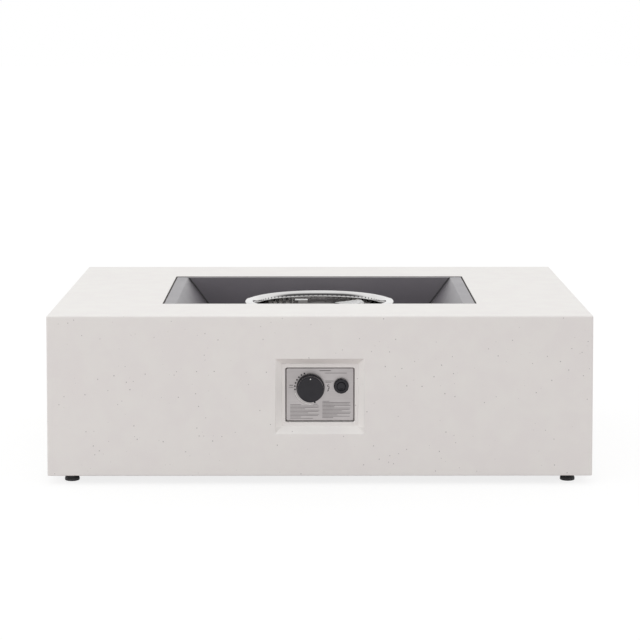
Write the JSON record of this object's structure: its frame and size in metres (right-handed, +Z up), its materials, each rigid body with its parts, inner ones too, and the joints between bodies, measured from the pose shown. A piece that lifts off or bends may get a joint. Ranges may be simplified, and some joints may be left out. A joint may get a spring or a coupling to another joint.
{
  "type": "fire pit",
  "caption": "Low rectangular cast-concrete fire pit table with a sunken steel tray, round burner bowl, front control knob and igniter, on levelling feet.",
  "frame": {"origin": "floor level, under the centre of the table", "axes": "+X to the right seen from the control panel, +Y to the back, +Z up"},
  "size_m": [1.1, 0.8043, 0.344],
  "materials": {
    "concrete": "matte",
    "tray_coating": "satin",
    "polished_steel": "polished",
    "brushed_panel": "satin",
    "burner_steel": "satin",
    "zinc_steel": "satin",
    "brass": "satin",
    "aluminium": "satin",
    "valve_alloy": "matte",
    "copper": "satin",
    "ceramic": "matte",
    "lead_rubber": "matte",
    "black_plastic": "satin",
    "white_ink": "matte",
    "foot_rubber": "matte",
    "battery_wrap": "gloss"
  },
  "bodies": {
    "table": {"cast_body": "concrete", "foot_sleeves": "brass", "fire_tray": "tray_coating", "burner_bowl": "polished_steel", "bowl_bolts": "zinc_steel", "bowl_nuts": "zinc_steel", "burner_ring": "burner_steel", "hub_nut": "zinc_steel", "pilot_hood": "polished_steel", "spark_target": "polished_steel", "small_screws": "zinc_steel", "electrode_insulator": "ceramic", "electrode_rod": "zinc_steel", "thermocouple": "burner_steel", "thermocouple_nut": "brass", "air_mixer": "zinc_steel", "gas_injector": "brass", "injector_elbow": "brass", "gas_pipe": "aluminium", "pipe_nuts": "brass", "thermocouple_lead": "copper", "ignition_lead": "lead_rubber", "control_panel": "brushed_panel", "panel_inserts": "brass", "panel_screws": "zinc_steel", "gas_valve": "valve_alloy", "valve_screws": "zinc_steel", "magnet_unit": "brass", "inlet_fitting": "brass", "igniter_body": "black_plastic", "igniter_nut": "black_plastic", "battery": "battery_wrap", "battery_contact": "zinc_steel"},
    "push_rod": {"valve_plunger": "brass"},
    "knob": {"control_knob": "black_plastic", "valve_stem": "zinc_steel", "knob_dot": "white_ink"},
    "igniter_cap": {"igniter_cap": "black_plastic"},
    "igniter_button": {"igniter_button": "black_plastic"},
    "foot_front_left": {"foot_front_left": "foot_rubber", "stud_front_left": "zinc_steel"},
    "foot_front_right": {"foot_front_right": "foot_rubber", "stud_front_right": "zinc_steel"},
    "foot_back_left": {"foot_back_left": "foot_rubber", "stud_back_left": "zinc_steel"},
    "foot_back_right": {"foot_back_right": "foot_rubber", "stud_back_right": "zinc_steel"}
  },
  "joints": [
    {"name": "knob_push", "type": "slide", "parent": "table", "child": "push_rod", "axis": [0, 1, 0], "range_m": [0, 0.004], "stiffness_N_per_m": 900, "springref_m": -0.004},
    {"name": "knob_turn", "type": "hinge", "parent": "push_rod", "child": "knob", "pos_m": [-0.019, -0.37885, 0.195], "axis": [0, -1, 0], "range_deg": [0, 180]},
    {"name": "cap_off", "type": "slide", "parent": "table", "child": "igniter_cap", "axis": [0, -1, 0], "range_m": [0, 0.03]},
    {"name": "igniter_press", "type": "slide", "parent": "igniter_cap", "child": "igniter_button", "axis": [0, 1, 0], "range_m": [0, 0.003], "stiffness_N_per_m": 800, "springref_m": -0.003},
    {"name": "foot_lift_front_left", "type": "slide", "parent": "table", "child": "foot_front_left", "axis": [0, 0, -1], "range_m": [0, 0.01]},
    {"name": "foot_lift_front_right", "type": "slide", "parent": "table", "child": "foot_front_right", "axis": [0, 0, -1], "range_m": [0, 0.01]},
    {"name": "foot_lift_back_left", "type": "slide", "parent": "table", "child": "foot_back_left", "axis": [0, 0, -1], "range_m": [0, 0.01]},
    {"name": "foot_lift_back_right", "type": "slide", "parent": "table", "child": "foot_back_right", "axis": [0, 0, -1], "range_m": [0, 0.01]}
  ]
}
